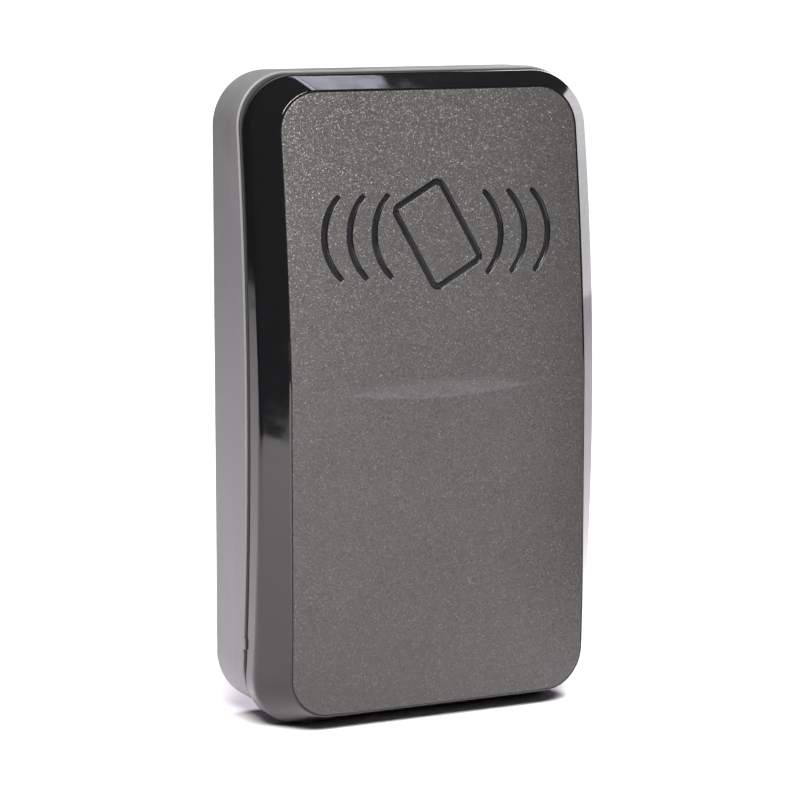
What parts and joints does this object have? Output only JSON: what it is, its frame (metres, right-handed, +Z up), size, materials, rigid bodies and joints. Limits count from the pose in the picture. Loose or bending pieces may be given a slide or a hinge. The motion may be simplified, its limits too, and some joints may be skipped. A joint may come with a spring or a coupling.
{
  "type": "contactless card reader",
  "caption": "Wall-mounted contactless card reader with a chamfered glossy bezel, an engraved present-card symbol and a hook-on cover that tilts open.",
  "frame": {"origin": "middle of the case's footprint at its lowest edge, half way through its depth", "axes": "+Z up the reader, +Y into the wall it hangs on, +X to the right as seen by the user, who stands on the -Y side"},
  "size_m": [0.0704, 0.0242, 0.12],
  "materials": {
    "rear_grey": "satin moulded plastic",
    "seal_rubber": "matt rubber",
    "gloss_black": "high gloss",
    "tape_foam": "foam tape",
    "flake_paint": "satin metal-flake paint",
    "clear_acrylic": "clear moulded",
    "plated_steel": "zinc plated",
    "nut_brass": "machined",
    "board_laminate": "solder mask",
    "coil_copper": "enamelled wire",
    "chip_black": "moulded epoxy",
    "light_lens": "diffuse lens",
    "can_metal": "drawn can",
    "terminal_green": "moulded",
    "plunger_ivory": "moulded"
  },
  "bodies": {
    "case": {"rear_shell": "rear_grey", "seal_ring": "seal_rubber", "cable_grommet": "seal_rubber", "lock_nut": "nut_brass", "main_board": "board_laminate", "board_screw_1": "plated_steel", "board_screw_2": "plated_steel", "board_screw_3": "plated_steel", "board_screw_4": "plated_steel", "antenna_coil": "coil_copper", "controller_chip": "chip_black", "radio_chip": "chip_black", "voltage_regulator": "chip_black", "protection_diode": "chip_black", "status_light_1": "light_lens", "status_light_2": "light_lens", "timing_crystal": "can_metal", "buzzer": "chip_black", "bulk_capacitor": "can_metal", "filter_capacitor": "can_metal", "terminal_block": "terminal_green", "terminal_screw_1": "plated_steel", "terminal_screw_2": "plated_steel", "terminal_screw_3": "plated_steel", "terminal_screw_4": "plated_steel", "terminal_screw_5": "plated_steel", "terminal_screw_6": "plated_steel", "tamper_switch": "chip_black"},
    "cover": {"front_bezel": "gloss_black", "panel_tape": "tape_foam", "front_panel": "flake_paint", "light_guide": "clear_acrylic"},
    "lock_screw": {"lock_screw": "plated_steel"},
    "tamper_plunger": {"tamper_plunger": "plunger_ivory"}
  },
  "joints": [
    {"name": "cover_tilt", "type": "hinge", "parent": "case", "child": "cover", "pos_m": [0, 0.0013, 0.1195], "axis": [-1, 0, 0], "range_deg": [0, 35]},
    {"name": "lock_screw_out", "type": "slide", "parent": "case", "child": "lock_screw", "axis": [0, 0, -1], "range_m": [0, 0.012]},
    {"name": "tamper_plunger_out", "type": "slide", "parent": "case", "child": "tamper_plunger", "axis": [0, -1, 0], "range_m": [0, 0.0012]}
  ],
  "couplings": [
    {"joint": "tamper_plunger_out", "follows": "cover_tilt", "m_per_rad": 0.00196}
  ]
}
